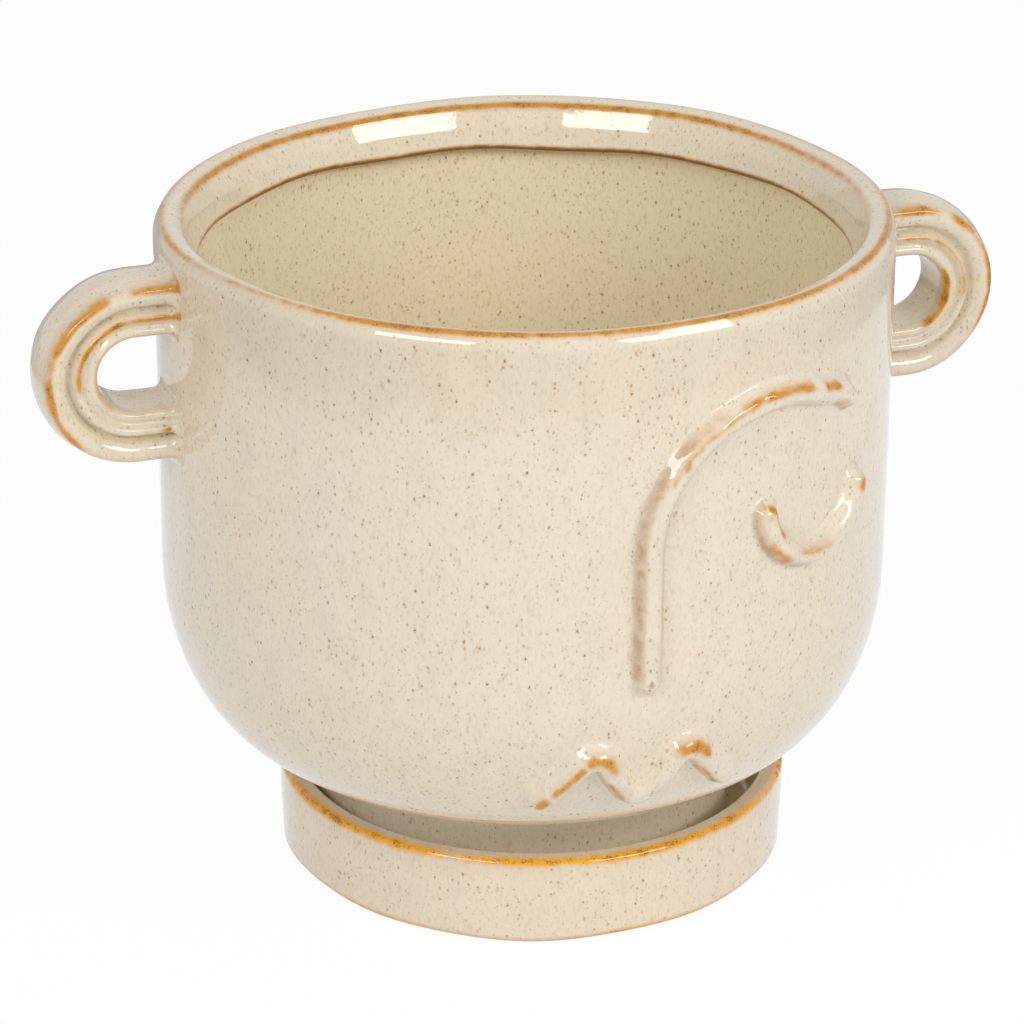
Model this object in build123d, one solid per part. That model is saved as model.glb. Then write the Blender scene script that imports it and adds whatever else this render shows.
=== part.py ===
from build123d import *
import os
from math import cos, radians, sin, sqrt, tan

# Ceramic face planter in its own drip saucer, in millimetres.
# Origin: on the table, under the pot's axis. +Z is up, the face looks along -Y, the handles stand along X.

# Saucer, with the gap between the pot's foot and the inside of its wall, and where it is pushed to
saucer_gap = 4.7
saucer_wall = 5.3
saucer_lean = 0.6
saucer_height = 21.7
saucer_floor = 5.5
saucer_lip_round = 1.6
saucer_corner_round = 1.0
saucer_well_round = 3.0
saucer_shift_x = 2.5
saucer_shift_y = -0.9

# Pot, with heights above the foot's underside
pot_radius = 85.0
pot_height = 153.5
pot_wall = 5.5
foot_radius = 50.0
foot_height = 26.0
foot_recess_depth = 2.5
foot_ring_width = 6.0
foot_edge_round = 1.2
foot_top_round = 2.0
foot_ledge = 6.9
pot_floor = 6.0
drain_radius = 6.0
belly_height = 42.9
well_round = 4.0

# Rolled rim, seen in section
rim_top_width = 6.5
rim_flat_width = 2.3
rim_top_fall = 1.3
rim_outer_round = 1.6
rim_inner_round = 0.9
lip_depth = 11.0
lip_overhang = 4.0
lip_bulge = 0.8
lip_undercut_height = 2.6

# Ear handles, seen in section from the finger hole outwards
handle_below_rim = 29.0
handle_stand_off = 8.7
handle_hole_radius = 9.1
handle_crest_radius = 20.5
handle_crown = 1.8
handle_depth = 18.0
handle_edge_round = 0.9
outer_groove_radius = 15.3
outer_groove_depth = 1.8
inner_crest_radius = 13.1
inner_crest_drop = 0.4
inner_trough_radius = 11.0
inner_trough_depth = 1.1
hole_edge_drop = 0.5
outer_lobe_bulge = 0.35

# Relief beads, measured along the wall from the face's centre line and up from the foot
bead_radius = 3.1
bead_height = 2.5
run_share = 0.48
nose_tip_height = 71.8
brow_radius = 31.5
brow_centre_height = 101.6
brow_sweep = 106.0
brow_runs = 6
brow_tail_length = 13.0
brow_hook_across = 4.2
brow_hook_drop = 4.4
eye_radius = 16.5
eye_centre_across = 45.1
eye_centre_height = 107.3
eye_outer_end = -8.0
eye_sweep = 167.0
eye_runs = 9
lips_tip_across = 23.2
lips_tip_height = 42.8
lips_peak_across = 11.1
lips_peak_height = 54.4
lips_dip_height = 41.0
lips_bend_radius = 3.6

# Levels and sizes that follow from those above
saucer_base_radius = foot_radius + saucer_gap + saucer_wall
saucer_rim_radius = saucer_base_radius + saucer_lean
pot_base = saucer_floor
rim_top = pot_base + pot_height
belly_top = pot_base + foot_height + belly_height
belly_bottom = pot_base + foot_height
belly_flat_radius = foot_radius + foot_ledge
belly_width = pot_radius - belly_flat_radius
cavity_radius = pot_radius - pot_wall
well_radius = foot_radius - pot_wall
well_top = belly_bottom + pot_wall
cavity_floor = pot_base + foot_recess_depth + pot_floor
recess_radius = foot_radius - foot_ring_width
lip_edge_radius = cavity_radius - lip_overhang
rim_slope_radius = pot_radius - rim_flat_width
rim_crest_radius = pot_radius - rim_top_width
rim_crest = rim_top - rim_top_fall
handle_centre = Vector(pot_radius + handle_stand_off, 0, rim_top - handle_below_rim)


def wall_radius(height):
    """Outer radius of the pot at a height above the table, on the wall or the belly."""
    if height >= belly_top:
        return pot_radius
    drop = (belly_top - height) / belly_height
    return belly_flat_radius + belly_width * sqrt(1 - drop * drop)


def on_wall(across, up):
    """Centre of a bead laid on the wall, from its place in the flat drawing of the face."""
    height = pot_base + up
    radius = wall_radius(height) + bead_height - bead_radius
    turn = across / pot_radius
    return Vector(radius * sin(turn), -radius * cos(turn), height)


def outer_profile():
    """The pot's outside in section, from the foot's underside to the rim's top."""
    foot_side = Line((foot_radius, pot_base), (foot_radius, belly_bottom))
    underside = Line((foot_radius, belly_bottom), (belly_flat_radius, belly_bottom))
    belly = EllipticalCenterArc((belly_flat_radius, belly_top), belly_width, belly_height, 270, arc_size=90)
    side = Line((pot_radius, belly_top), (pot_radius, rim_top))
    return foot_side, underside, belly, side


def pot_envelope():
    """The pot's outside as one solid plug, which cuts what is luted on to the wall."""
    foot_side, underside, belly, side = outer_profile()
    top = Line((pot_radius, rim_top), (0, rim_top))
    axis = Line((0, rim_top), (0, pot_base))
    bottom = Line((0, pot_base), (foot_radius, pot_base))
    section = Plane.XZ * make_face([foot_side, underside, belly, side, top, axis, bottom])
    return revolve(section, Axis.Z)


def pot_outside():
    """The pot's outside in section, filled to the axis: its rim is flat at first, then slopes inwards."""
    foot_side, underside, belly, side = outer_profile()
    flat = Line((pot_radius, rim_top), (rim_slope_radius, rim_top))
    slope = Line((rim_slope_radius, rim_top), (rim_crest_radius, rim_crest))
    across = Line((rim_crest_radius, rim_crest), (0, rim_crest))
    axis = Line((0, rim_crest), (0, pot_base))
    bottom = Line((0, pot_base), (foot_radius, pot_base))
    return make_face([foot_side, underside, belly, side, flat, slope, across, axis, bottom])


def pot_hollow():
    """The pot's hollow in section: mouth, undercut, wall, belly and the well inside the foot."""
    lip_edge = rim_top - lip_depth
    undercut = lip_edge - lip_undercut_height
    above = rim_top + rim_top_fall
    middle = ((rim_crest_radius + lip_edge_radius) / 2 - lip_bulge, (rim_crest + lip_edge) / 2)
    belly_size = (belly_width - pot_wall, belly_height - pot_wall)
    lines = [
        Line((0, above), (rim_crest_radius, above)),
        Line((rim_crest_radius, above), (rim_crest_radius, rim_crest)),
        ThreePointArc((rim_crest_radius, rim_crest), middle, (lip_edge_radius, lip_edge)),
        Line((lip_edge_radius, lip_edge), (cavity_radius, undercut)),
        Line((cavity_radius, undercut), (cavity_radius, belly_top)),
        EllipticalCenterArc((belly_flat_radius, belly_top), *belly_size, 270, arc_size=90),
        Line((belly_flat_radius, well_top), (well_radius, well_top)),
        Line((well_radius, well_top), (well_radius, cavity_floor)),
        Line((well_radius, cavity_floor), (0, cavity_floor)),
        Line((0, cavity_floor), (0, above)),
    ]
    return make_face(lines)


def round_corner(section, x, y, radius):
    """Rounds the one corner of a section that lies at the given place."""
    corner = section.vertices().sort_by_distance((x, y, 0))[0]
    return fillet(corner, radius)


def build_pot_body():
    """The pot, turned in one: its outside less the hollow, the recess under the foot and the drain hole."""
    low = (Align.MIN, Align.MIN)
    recess = Pos(0, pot_base) * Rectangle(recess_radius, foot_recess_depth, align=low)
    drain = Pos(0, pot_base) * Rectangle(drain_radius, foot_recess_depth + pot_floor, align=low)
    section = pot_outside() - pot_hollow() - recess - drain
    rounds = [
        (foot_radius, pot_base, foot_edge_round),
        (foot_radius, belly_bottom, foot_top_round),
        (pot_radius, rim_top, rim_outer_round),
        (rim_crest_radius, rim_crest, rim_inner_round),
        (well_radius, well_top, well_round),
        (well_radius, cavity_floor, well_round),
    ]
    for x, y, radius in rounds:
        section = round_corner(section, x, y, radius)
    return revolve(Plane.XZ * section, Axis.Z)


def build_saucer():
    """The saucer: a low dish with a straight wall that leans out a little."""
    rim_inside = saucer_rim_radius - saucer_wall
    floor_inside = saucer_base_radius - saucer_wall
    section = make_face(
        Polyline(
            (0, 0),
            (saucer_base_radius, 0),
            (saucer_rim_radius, saucer_height),
            (rim_inside, saucer_height),
            (floor_inside, saucer_floor),
            (0, saucer_floor),
            close=True,
        )
    )
    section = round_corner(section, saucer_base_radius, 0, saucer_corner_round)
    section = round_corner(section, saucer_rim_radius, saucer_height, saucer_lip_round)
    section = round_corner(section, rim_inside, saucer_height, saucer_lip_round)
    section = round_corner(section, floor_inside, saucer_floor, saucer_well_round)
    return Pos(saucer_shift_x, saucer_shift_y, 0) * revolve(Plane.XZ * section, Axis.Z)


def handle_side(side):
    """One grooved side face of the handle in section, from the outer crest to the hole's edge."""
    face = handle_depth / 2
    crest = (side * face, handle_crest_radius)
    groove = (side * (face - outer_groove_depth), outer_groove_radius)
    ridge = (side * (face - inner_crest_drop), inner_crest_radius)
    trough = (side * (face - inner_trough_depth), inner_trough_radius)
    edge = (side * (face - hole_edge_drop), handle_hole_radius)
    lobe = (
        side * (face - outer_groove_depth / 2 + outer_lobe_bulge),
        (handle_crest_radius + outer_groove_radius) / 2,
    )
    return crest, edge, [
        ThreePointArc(crest, lobe, groove),
        Line(groove, ridge),
        ThreePointArc(ridge, trough, edge),
    ]


def handle_section():
    """The handle's section: a crowned back, two grooved sides and a plain finger side."""
    crest, edge, lines = handle_side(1)
    far_crest, far_edge, far_lines = handle_side(-1)
    crown = ThreePointArc(crest, (0, handle_crest_radius + handle_crown), far_crest)
    finger_side = Line(edge, far_edge)
    section = make_face([crown, *lines, *far_lines, finger_side])
    for corner in (crest, far_crest, edge, far_edge):
        section = round_corner(section, *corner, handle_edge_round)
    return section


def build_handle():
    """The right handle: the section swept round half a turn, with two stubs let on to the wall."""
    across = Plane(handle_centre, x_dir=(0, 1, 0), z_dir=(1, 0, 0))
    section = across * handle_section()
    pin = Axis(handle_centre, (0, 1, 0))
    bow = revolve(section, pin, 180)
    stub_length = handle_stand_off + pot_wall
    upper_stub = extrude(section, stub_length, dir=(-1, 0, 0))
    lower_stub = upper_stub.rotate(Axis(handle_centre, (1, 0, 0)), 180)
    return bow + upper_stub + lower_stub - pot_envelope()


def arc_corners(centre_across, centre_up, radius, start, sweep, runs):
    """Corners of the tangent polygon round an arc of the flat drawing, clockwise from start degrees."""
    step = sweep / runs
    reach = radius / cos(radians(step / 2))
    turns = [start - step * (number + 0.5) for number in range(runs)]
    return [(centre_across + reach * cos(radians(a)), centre_up + reach * sin(radians(a))) for a in turns]


def arc_end(centre_across, centre_up, radius, angle):
    """A point of an arc in the face's flat drawing."""
    return centre_across + radius * cos(radians(angle)), centre_up + radius * sin(radians(angle))


def halfway(start, end):
    """The middle of a straight run in the face's flat drawing."""
    return (start[0] + end[0]) / 2, (start[1] + end[1]) / 2


def bead(corners, tightest=None):
    """A rounded bead of clay laid on the wall along a line of corners, with round ends."""
    points = [on_wall(*corner) for corner in corners]
    radii = []
    for before, here, after in zip(points, points[1:], points[2:]):
        turn = radians((here - before).get_angle(after - here))
        shorter = min((here - before).length, (after - here).length)
        widest = run_share * shorter / tan(turn / 2)
        radii.append(min(widest, tightest) if tightest else widest)
    path = FilletPolyline(*points, radius=radii)
    heading = path % 0
    inward = Vector(-points[0].X, -points[0].Y, 0)
    seam = inward - heading * inward.dot(heading)
    roll = sweep(Plane(points[0], x_dir=seam, z_dir=heading) * Circle(bead_radius), path=path)
    ends = [Pos(*tuple(place)) * Sphere(bead_radius) for place in (points[0], points[-1])]
    return roll + ends - pot_envelope()


def build_nose_brow():
    """The nose, a straight bead that runs up into the arched brow and ends in a drooping tail."""
    tip = (0, nose_tip_height)
    arch = arc_corners(brow_radius, brow_centre_height, brow_radius, 180, brow_sweep, brow_runs)
    arch_end = 180 - brow_sweep
    leave = arc_end(brow_radius, brow_centre_height, brow_radius, arch_end)
    slope = radians(arch_end - 90)
    bend = (leave[0] + brow_tail_length * cos(slope), leave[1] + brow_tail_length * sin(slope))
    end = (bend[0] + brow_hook_across, bend[1] - brow_hook_drop)
    return bead([tip, *arch, bend, end])


def build_closed_eye():
    """The closed eye, a bead bent to a half ring that hangs open at the top."""
    inner_end = eye_outer_end - eye_sweep
    start = arc_end(eye_centre_across, eye_centre_height, eye_radius, eye_outer_end)
    bow = arc_corners(eye_centre_across, eye_centre_height, eye_radius, eye_outer_end, eye_sweep, eye_runs)
    end = arc_end(eye_centre_across, eye_centre_height, eye_radius, inner_end)
    return bead([start, *bow, end])


def build_lips():
    """The lips, a bead bent to a wide M under the nose."""
    tip = (lips_tip_across, lips_tip_height)
    peak = (lips_peak_across, lips_peak_height)
    dip = (0, lips_dip_height)
    right = [halfway(dip, peak), peak, halfway(peak, tip), tip]
    left = [(-across, up) for across, up in reversed(right)]
    return bead([*left, dip, *right], lips_bend_radius)


def main():
    os.makedirs("parts", exist_ok=True)
    right_handle = build_handle()
    parts = {
        "saucer": build_saucer(),
        "pot_body": build_pot_body(),
        "right_ear_handle": right_handle,
        "left_ear_handle": mirror(right_handle, Plane.YZ),
        "nose_brow_relief": build_nose_brow(),
        "closed_eye_relief": build_closed_eye(),
        "lips_relief": build_lips(),
    }
    for name, solid in parts.items():
        export_step(solid, f"parts/{name}.step")


main()
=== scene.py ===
from math import cos, exp, pi, radians, sin, sqrt, tan

import bpy
import numpy as np
from mathutils import Matrix, Vector


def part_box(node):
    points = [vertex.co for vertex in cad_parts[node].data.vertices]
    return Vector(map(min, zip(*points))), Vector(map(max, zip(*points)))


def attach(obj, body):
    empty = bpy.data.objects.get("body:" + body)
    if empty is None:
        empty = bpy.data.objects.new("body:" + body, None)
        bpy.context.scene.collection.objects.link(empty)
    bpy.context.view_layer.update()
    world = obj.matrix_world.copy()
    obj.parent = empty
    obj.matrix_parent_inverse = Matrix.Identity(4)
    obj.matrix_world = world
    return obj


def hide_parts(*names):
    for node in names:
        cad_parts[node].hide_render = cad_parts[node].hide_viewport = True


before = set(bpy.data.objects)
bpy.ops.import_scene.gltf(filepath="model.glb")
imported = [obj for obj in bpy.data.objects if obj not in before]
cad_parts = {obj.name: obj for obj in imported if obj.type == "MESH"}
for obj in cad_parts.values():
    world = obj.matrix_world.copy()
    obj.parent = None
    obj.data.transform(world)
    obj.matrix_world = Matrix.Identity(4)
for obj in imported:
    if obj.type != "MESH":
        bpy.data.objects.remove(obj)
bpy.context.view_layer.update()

# Glazed face planter in its drip saucer. Shapes are worked out in millimetres and become meshes in metres.
# The face looks along -Y, the handles stand along X, and the saucer stands on the floor at height 0.

MM = 0.001


def node_box(name):
    """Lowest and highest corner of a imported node, in millimetres."""
    return tuple(np.array(corner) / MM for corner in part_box(name))


pot_low, pot_high = node_box("pot_body")
saucer_low, saucer_high = node_box("saucer")
handle_low, handle_high = node_box("right_ear_handle")

# Sizes that the frame gives
POT_RADIUS = pot_high[0]
POT_BASE = pot_low[2]
RIM_TOP = pot_high[2]
SAUCER_CENTRE = (saucer_low + saucer_high) / 2
SAUCER_RADIUS = (saucer_high[0] - saucer_low[0]) / 2
SAUCER_HEIGHT = saucer_high[2]
HANDLE_HEIGHT = (handle_low[2] + handle_high[2]) / 2
HANDLE_REACH = (handle_high[2] - handle_low[2]) / 2
HANDLE_DEPTH = handle_high[1] - handle_low[1]
HANDLE_STAND_OFF = handle_high[0] - HANDLE_REACH - POT_RADIUS

# Sizes of the pot's section
WALL = 5.5
DRAIN_RADIUS = 6.0
RECESS_RADIUS = 44.0
RECESS_DEPTH = 2.5
FOOT_RADIUS = 50.0
FOOT_HEIGHT = 26.0
FLOOR_TOP = POT_BASE + 8.5
BELLY_FLAT_RADIUS = 56.9
BELLY_HEIGHT = 42.9
BELLY_WIDTH = POT_RADIUS - BELLY_FLAT_RADIUS
BELLY_BOTTOM = POT_BASE + FOOT_HEIGHT
BELLY_TOP = BELLY_BOTTOM + BELLY_HEIGHT
BELLY_STEPS = 24
LIP_DROP = 11.2
SAG_FROM = 95

# Sizes of the saucer's section: its wall, the hollow under it and the pinhole on its axis
SAUCER_WALL = 5.3
SAUCER_HOLLOW = 0.4
SAUCER_POLE = 0.6

# Places under the belly where a painted reflection of the saucer's warm rim lies, as radius and height
BELLY_REFLECTION_PLACE = (66.6, BELLY_BOTTOM + 2.6)
BELLY_HIGH_REFLECTION_PLACE = (70.4, BELLY_BOTTOM + 5.2)

# How finely sections are divided, in millimetres, and how many steps they take round
POT_STEP = 1.9
SAUCER_STEP = 2.2
FINE_STEP = 0.4
FINE_REACH = 4.0
ARC_STEP = 0.2
STEPS_ROUND = 272
WHEEL_MARGIN = 20


# Shapes


def smooth(value, low, high):
    """0 below low, 1 above high, and a soft step between them."""
    share = np.clip((np.asarray(value, float) - low) / (high - low), 0, 1)
    return share * share * (3 - 2 * share)


def add_mesh(name, points, faces, attributes):
    """A mesh object made of points in millimetres, with one number per point for each attribute."""
    mesh = bpy.data.meshes.new(name)
    mesh.from_pydata((np.asarray(points) * MM).tolist(), [], faces)
    store(mesh, attributes)
    mesh.polygons.foreach_set("use_smooth", [True] * len(mesh.polygons))
    mesh.update()
    piece = bpy.data.objects.new(name, mesh)
    bpy.context.scene.collection.objects.link(piece)
    return piece


def store(mesh, attributes):
    """Writes numbers on a mesh's points for the glaze to read."""
    for name, values in attributes.items():
        layer = mesh.attributes.get(name) or mesh.attributes.new(name, "FLOAT", "POINT")
        layer.data.foreach_set("value", np.asarray(values, np.float32))


def values_of(mesh, name):
    """The numbers of a mesh's attribute."""
    values = np.empty(len(mesh.vertices), np.float32)
    mesh.attributes[name].data.foreach_get("value", values)
    return values.astype(float)


def points_of(mesh):
    """A mesh's points in millimetres."""
    flat = np.empty(len(mesh.vertices) * 3, np.float32)
    mesh.vertices.foreach_get("co", flat)
    return flat.reshape(-1, 3).astype(float) / MM


def move_points(piece, points):
    """Gives a piece's mesh new places for its points, in millimetres."""
    piece.data.vertices.foreach_set("co", (points * MM).astype(np.float32).ravel())
    piece.data.update()


def turn_outwards(piece):
    """Turns a closed piece's faces outwards."""
    mesh = piece.data
    mesh.calc_loop_triangles()
    corners = np.empty(len(mesh.loop_triangles) * 3, np.int32)
    mesh.loop_triangles.foreach_get("vertices", corners)
    first, second, third = points_of(mesh)[corners.reshape(-1, 3)].transpose(1, 0, 2)
    volume = np.einsum("ij,ij->", first, np.cross(second, third)) / 6
    if volume < 0:
        mesh.flip_normals()


def facing(points):
    """Angle round the pot in degrees: 0 at the nose, 90 at the right handle, -90 at the left one."""
    return np.degrees(np.arctan2(points[:, 0], -points[:, 1]))


def hump(angle, centre, spread):
    """A soft bump in the angle round the pot, 1 at its centre."""
    away = (angle - centre + 180) % 360 - 180
    return np.exp(-((away / spread) ** 2))


def ripple(angle, crests, phase=0):
    """A wave with a number of crests round the pot."""
    return np.sin(np.radians(angle * crests + phase))


def rolled_lip(points):
    """1 on the lip's lower edge inside the pot, fading out round it."""
    radius = np.hypot(points[:, 0], points[:, 1])
    away = np.hypot(radius - (POT_RADIUS - 9.5), points[:, 2] - (RIM_TOP - LIP_DROP))
    return np.exp(-((away / 5.0) ** 2))


def settle(points):
    """Moves points of the pot as the clay moved in the making: the rim sags at the back left and is a little
    wavy."""
    angle = facing(points)
    near_rim = smooth(points[:, 2], SAG_FROM, RIM_TOP)
    sag = -1.6 * hump(angle, -135, 48) + 0.35 * hump(angle, 128, 18) - 0.3 * hump(angle, 100, 14)
    sag += 0.15 * ripple(angle, 5, 40) + 0.10 * ripple(angle, 9)
    sag += rolled_lip(points) * (0.45 * ripple(angle, 4, 15) + 0.30 * ripple(angle, 11))
    swell = 0.25 * ripple(angle, 3, 70) + 0.12 * ripple(angle, 7, 10)
    radius = np.hypot(points[:, 0], points[:, 1])
    grow = 1 + swell * near_rim * smooth(radius, 60, 80) / POT_RADIUS
    moved = points.copy()
    moved[:, 0] *= grow
    moved[:, 1] *= grow
    moved[:, 2] += sag * near_rim
    return moved


# Turned clay


def rounded_section(corners, step):
    """Points of a closed section, and its named corners. Runs are joined by round corners, and each corner is
    given as radius, height, round, name."""
    points = []
    marks = {}
    count = len(corners)
    for number, (x, y, bend, name) in enumerate(corners):
        here = np.array((x, y), float)
        before = np.array(corners[number - 1][:2], float) - here
        after = np.array(corners[(number + 1) % count][:2], float) - here
        piece = round_corner(here, before, after, bend)
        if name:
            marks[name] = piece[len(piece) // 2]
        points += piece
    return resampled(np.array(points), step), marks


def round_corner(here, before, after, bend):
    """The points of one corner, as an arc that fits between the runs before and after it."""
    before_length, after_length = np.linalg.norm(before), np.linalg.norm(after)
    before, after = before / before_length, after / after_length
    turn = pi - np.arccos(np.clip(before @ after, -1, 1))
    if bend <= 0 or turn <= 0.01:
        return [here]
    reach = min(bend * tan(turn / 2), 0.49 * before_length, 0.49 * after_length)
    bounce_lit_inside = reach / tan(turn / 2)
    start, end = here + before * reach, here + after * reach
    middle = here + (before + after) / np.linalg.norm(before + after) * bounce_lit_inside / cos(turn / 2)
    arcs = max(3, round(turn / ARC_STEP))
    piece = []
    for k in range(arcs + 1):
        share = k / arcs
        spoke = (start - middle) * sin((1 - share) * turn) + (end - middle) * sin(share * turn)
        piece.append(middle + spoke / sin(turn))
    return piece


def resampled(points, step):
    """The same closed line with its long runs divided."""
    out = []
    for here, after in zip(points, np.roll(points, -1, axis=0)):
        length = np.linalg.norm(after - here)
        if length < 1e-6:
            continue
        pieces = max(1, round(length / step))
        out += [here + (after - here) * k / pieces for k in range(pieces)]
    return np.array(out)


def refined(section, marks):
    """A closed section with extra points near its marks, so that fine glaze lines and painted reflection
    lines keep their width.
    """
    out = []
    for here, after in zip(section, np.roll(section, -1, axis=0)):
        middle = (here + after) / 2
        near = min(np.linalg.norm(middle - np.array(mark)) for mark in marks)
        length = np.linalg.norm(after - here)
        pieces = max(1, round(length / FINE_STEP)) if near < FINE_REACH else 1
        out += [here + (after - here) * k / pieces for k in range(pieces)]
    return np.array(out)


def line_on(section, mark, width):
    """1 on a marked point of a section, fading out over a width to each side."""
    away = np.linalg.norm(section - np.array(mark), axis=1)
    return np.exp(-((away / width) ** 2))


def turning_tree():
    """Geometry Nodes that turn a drawn section round the upright axis, as clay is turned on a wheel."""
    tree = bpy.data.node_groups.new("turned_clay", "GeometryNodeTree")
    sockets = [
        ("Section", "INPUT", "NodeSocketGeometry"),
        ("Steps round", "INPUT", "NodeSocketInt"),
        ("Wheel radius", "INPUT", "NodeSocketFloat"),
        ("Glaze", "INPUT", "NodeSocketMaterial"),
        ("Clay", "OUTPUT", "NodeSocketGeometry"),
    ]
    for name, way, kind in sockets:
        tree.interface.new_socket(name, in_out=way, socket_type=kind)
    given = tree.nodes.new("NodeGroupInput")
    made = tree.nodes.new("NodeGroupOutput")
    section = tree.nodes.new("GeometryNodeMeshToCurve")
    wheel = tree.nodes.new("GeometryNodeCurvePrimitiveCircle")
    turned = tree.nodes.new("GeometryNodeCurveToMesh")
    shaded = tree.nodes.new("GeometryNodeSetShadeSmooth")
    real = tree.nodes.new("GeometryNodeRealizeInstances")
    glazed = tree.nodes.new("GeometryNodeSetMaterial")
    link = tree.links.new
    link(given.outputs["Section"], section.inputs["Mesh"])
    link(given.outputs["Steps round"], wheel.inputs["Resolution"])
    link(given.outputs["Wheel radius"], wheel.inputs["Radius"])
    link(wheel.outputs["Curve"], turned.inputs["Curve"])
    link(section.outputs["Curve"], turned.inputs["Profile Curve"])
    link(turned.outputs["Mesh"], shaded.inputs["Geometry"])
    link(shaded.outputs["Geometry"], real.inputs["Geometry"])
    link(real.outputs["Geometry"], glazed.inputs["Geometry"])
    link(given.outputs["Glaze"], glazed.inputs["Material"])
    link(glazed.outputs["Geometry"], made.inputs["Clay"])
    return tree


def turned_piece(name, section, attributes, glaze, tree):
    """A closed section turned to a solid piece, with the section's attributes carried round."""
    wheel_radius = section[:, 0].max() + WHEEL_MARGIN
    flat = np.column_stack([section[:, 0] - wheel_radius, -section[:, 1], np.zeros(len(section))])
    mesh = bpy.data.meshes.new(name + "_section")
    count = len(section)
    edges = [(k, (k + 1) % count) for k in range(count)]
    mesh.from_pydata((flat * MM).tolist(), edges, [])
    store(mesh, attributes)
    drawn = bpy.data.objects.new(name + "_section", mesh)
    bpy.context.scene.collection.objects.link(drawn)
    modifier = drawn.modifiers.new("turned", "NODES")
    modifier.node_group = tree
    settings = {"Steps round": STEPS_ROUND, "Wheel radius": wheel_radius * MM, "Glaze": glaze}
    for item in tree.interface.items_tree:
        if item.name in settings:
            modifier[item.identifier] = settings[item.name]
    graph = bpy.context.evaluated_depsgraph_get()
    made = bpy.data.meshes.new_from_object(drawn.evaluated_get(graph))
    bpy.data.objects.remove(drawn)
    made.name = name
    piece = bpy.data.objects.new(name, made)
    bpy.context.scene.collection.objects.link(piece)
    turn_outwards(piece)
    return piece


# Pot


def pot_section():
    """The pot's section, from the drain hole out over the foot, up to the rim and down the inside."""
    belly = [radians(270 + 90 * share / BELLY_STEPS) for share in range(1, BELLY_STEPS)]
    foot = [
        (DRAIN_RADIUS, FLOOR_TOP, 0.8, ""),
        (DRAIN_RADIUS, POT_BASE + RECESS_DEPTH, 0.8, ""),
        (RECESS_RADIUS, POT_BASE + RECESS_DEPTH, 1.2, ""),
        (RECESS_RADIUS, POT_BASE, 0.8, ""),
        (FOOT_RADIUS, POT_BASE, 1.4, "foot_outer"),
        (FOOT_RADIUS, BELLY_BOTTOM, 2.2, ""),
        (BELLY_FLAT_RADIUS - 2, BELLY_BOTTOM, 0, ""),
    ]
    rim = [
        (POT_RADIUS, BELLY_TOP, 0, ""),
        (POT_RADIUS, RIM_TOP - 2.9, 4.5, ""),
        (POT_RADIUS - 1.7, RIM_TOP - 0.1, 1.0, "rim_outer"),
        (POT_RADIUS - 3.0, RIM_TOP, 3.0, ""),
        (POT_RADIUS - 6.3, RIM_TOP - 1.1, 1.6, "rim_crest"),
        (POT_RADIUS - 8.6, RIM_TOP - 6.0, 8.0, ""),
        (POT_RADIUS - 10.1, RIM_TOP - LIP_DROP, 0.8, "lip_edge"),
        (POT_RADIUS - WALL + 0.4, RIM_TOP - 12.4, 0.9, ""),
        (POT_RADIUS - WALL, RIM_TOP - 19.0, 4.0, ""),
        (POT_RADIUS - WALL, BELLY_TOP, 0, ""),
    ]
    well = [
        (FOOT_RADIUS - WALL, BELLY_BOTTOM + WALL, 4.0, ""),
        (FOOT_RADIUS - WALL, FLOOR_TOP, 4.5, ""),
    ]
    outer_belly = belly_corners(belly, BELLY_WIDTH, BELLY_HEIGHT)
    inner_belly = belly_corners(reversed(belly), BELLY_WIDTH - WALL, BELLY_HEIGHT - WALL)
    return rounded_section([*foot, *outer_belly, *rim, *inner_belly, *well], POT_STEP)


def belly_corners(angles, width, height):
    """Corners along the belly's quarter ellipse."""
    return [(BELLY_FLAT_RADIUS + width * cos(a), BELLY_TOP + height * sin(a), 0, "") for a in angles]


def outside_of_pot(section):
    """1 where a point of the section lies on the pot's outside."""
    height = np.clip(section[:, 1], BELLY_BOTTOM, BELLY_TOP)
    drop = (BELLY_TOP - height) / BELLY_HEIGHT
    radius = BELLY_FLAT_RADIUS + BELLY_WIDTH * np.sqrt(np.clip(1 - drop * drop, 0, 1))
    radius = np.where(section[:, 1] < BELLY_BOTTOM + 0.5, FOOT_RADIUS, radius)
    return (section[:, 0] > radius - 2.5).astype(float)


def pot_attributes(section, marks):
    """The numbers that the pot's section carries round: its glaze lines, a painted reflection of the saucer's
    rim under the belly, the stain under the lip, painted bounce light lightening the inside, painted shade
    darkening the upper wall, and the bare foot."""
    outer_side = outside_of_pot(section)
    # Painted bounce light: the inside glaze is lighter and yellower, less so on the lip's face
    bounce_lit_inside = np.where(section[:, 1] < RIM_TOP - 11.0, 1.0, 0.35) * (1 - outer_side)
    # Painted shade: the top of the outer wall is darker and browner
    upper_wall_painted_shade = 0.17 * smooth(section[:, 1], RIM_TOP - 34, RIM_TOP - 6) * outer_side
    return {
        "outer_line": line_on(section, marks["rim_outer"], 1.25),
        "crest_line": line_on(section, marks["rim_crest"], 1.25),
        "lip_line": line_on(section, marks["lip_edge"], 1.0),
        "foot_line": line_on(section, marks["foot_outer"], 0.9),
        # Painted reflection of the saucer's warm rim, as two pale amber lines under the belly
        "belly_reflection": line_on(section, BELLY_REFLECTION_PLACE, 0.8),
        "belly_high_reflection": line_on(section, BELLY_HIGH_REFLECTION_PLACE, 1.2),
        "stain_and_shade": 0.95 * line_on(section, marks["lip_edge"], 0.9),
        "inner": bounce_lit_inside,
        "upper_painted_shade": upper_wall_painted_shade,
        "bare": np.where(section[:, 1] < POT_BASE + 0.35, 1.0, 0.0),
    }


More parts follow.
